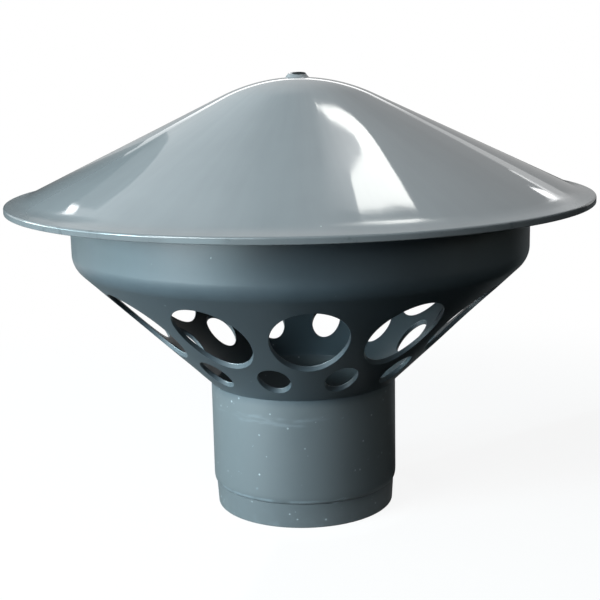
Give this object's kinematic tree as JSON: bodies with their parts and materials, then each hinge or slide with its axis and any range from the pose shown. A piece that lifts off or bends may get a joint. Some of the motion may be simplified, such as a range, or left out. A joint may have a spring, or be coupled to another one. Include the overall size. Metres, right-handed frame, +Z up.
{
  "type": "vent pipe cap",
  "caption": "Conical rain cap on a perforated funnel body with a plain pipe spigot, to let a vent pipe breathe and keep rain out.",
  "frame": {"origin": "on the axis, in the plane of the spigot's open end", "axes": "+Z up along the axis towards the tip of the rain cap; -Y towards one of the large vent holes"},
  "size_m": [0.153, 0.153, 0.116],
  "materials": {
    "body_plastic": "satin moulded plastic, blue-grey",
    "cap_plastic": "glossy moulded plastic, light blue-grey"
  },
  "bodies": {
    "root": {"vent_body": "body_plastic", "rain_cap": "cap_plastic"}
  },
  "joints": []
}
